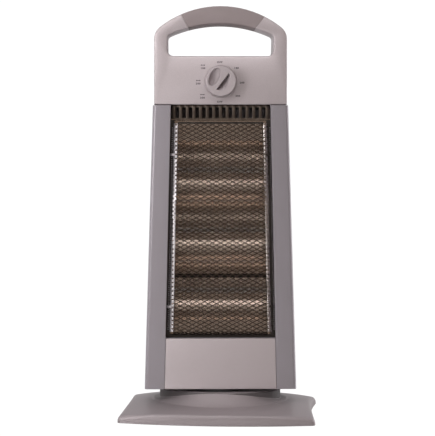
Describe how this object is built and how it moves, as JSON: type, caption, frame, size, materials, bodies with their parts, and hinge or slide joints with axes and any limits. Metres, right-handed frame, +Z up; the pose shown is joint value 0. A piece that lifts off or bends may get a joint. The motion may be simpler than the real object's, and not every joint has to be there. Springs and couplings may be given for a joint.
{
  "type": "space heater",
  "caption": "Upright electric bar heater with guarded reflector, carrying handle and rotary control, on a flat base that swings it from side to side.",
  "frame": {"origin": "on the floor, on the vertical axis about which the head swings, at the middle of the base", "axes": "+Z up, front of the head towards -Y, +X to the right seen from the front"},
  "size_m": [0.2884, 0.2062, 0.579],
  "materials": {
    "dark_silver": "dark silver-grey moulded plastic with a fine metallic fleck",
    "light_silver": "light silver painted plastic, satin",
    "base_silver": "silver-grey moulded plastic, satin",
    "grip": "darker grey soft grip skin",
    "chrome": "bright plated expanded metal",
    "reflector": "polished sheet, warm tint",
    "steel": "plated steel",
    "iron": "painted ballast",
    "brass": "plain brass",
    "rubber": "black rubber",
    "black_plastic": "black moulded plastic",
    "nylon": "natural nylon",
    "ceramic": "unglazed steatite",
    "quartz": "satin white quartz",
    "coil_wire": "oxidised resistance wire"
  },
  "bodies": {
    "base": {"base_shell": "base_silver", "base_plate": "black_plastic", "ballast_plate": "iron", "foot_front_left": "rubber", "foot_front_right": "rubber", "foot_rear_right": "rubber", "foot_rear_left": "rubber", "base_screw_front_left": "steel", "base_screw_front_right": "steel", "base_screw_rear_right": "steel", "base_screw_rear_left": "steel", "swing_motor": "steel", "pivot_post": "steel", "pivot_washer": "steel", "pivot_nut": "brass", "wear_ring": "nylon"},
    "crank": {"swing_crank": "nylon"},
    "head": {"front_frame": "dark_silver", "lower_fascia": "light_silver", "rear_cover": "dark_silver", "floor_plate": "steel", "top_front_shell": "light_silver", "top_rear_shell": "light_silver", "handle_grip_front": "grip", "handle_grip_rear": "grip", "reflector": "reflector", "guard": "chrome", "guard_clip_upper_left": "steel", "guard_clip_upper_right": "steel", "guard_clip_lower_left": "steel", "guard_clip_lower_right": "steel", "quartz_tube_top": "quartz", "quartz_tube_middle": "quartz", "quartz_tube_bottom": "quartz", "heating_coil_top": "coil_wire", "heating_coil_middle": "coil_wire", "heating_coil_bottom": "coil_wire", "end_cap_top_left": "ceramic", "end_cap_top_right": "ceramic", "end_cap_middle_left": "ceramic", "end_cap_middle_right": "ceramic", "end_cap_bottom_left": "ceramic", "end_cap_bottom_right": "ceramic", "tube_bracket_left": "steel", "tube_bracket_right": "steel", "rotary_switch": "black_plastic", "heat_shield": "steel", "thermal_cutout": "steel", "tip_switch_frame": "nylon", "terminal_block": "nylon", "cord_gland": "black_plastic", "cover_screw_lower_left": "steel", "cover_screw_lower_right": "steel", "cover_screw_upper_left": "steel", "cover_screw_upper_right": "steel", "handle_screw_left": "steel", "handle_screw_right": "steel"},
    "knob": {"control_knob": "light_silver", "switch_shaft": "steel"},
    "pendulum": {"tip_pendulum": "steel"}
  },
  "joints": [
    {"name": "head_swing", "type": "hinge", "parent": "base", "child": "head", "pos_m": [0, 0, 0.046], "axis": [0, 0, 1], "range_deg": [-35, 25]},
    {"name": "crank_turn", "type": "hinge", "parent": "base", "child": "crank", "pos_m": [0.02491, -0.00218, 0.0418], "axis": [0, 0, 1], "range_deg": [-118, 84.5]},
    {"name": "knob_turn", "type": "hinge", "parent": "head", "child": "knob", "pos_m": [0, -0.0575, 0.4745], "axis": [0, 1, 0], "continuous": true},
    {"name": "pendulum_swing", "type": "hinge", "parent": "head", "child": "pendulum", "pos_m": [-0.058, -0.006, 0.078], "axis": [0, 1, 0], "range_deg": [-25, 25]}
  ],
  "couplings": [
    {"joint": "crank_turn", "follows": "head_swing", "ratio": 3.35}
  ]
}
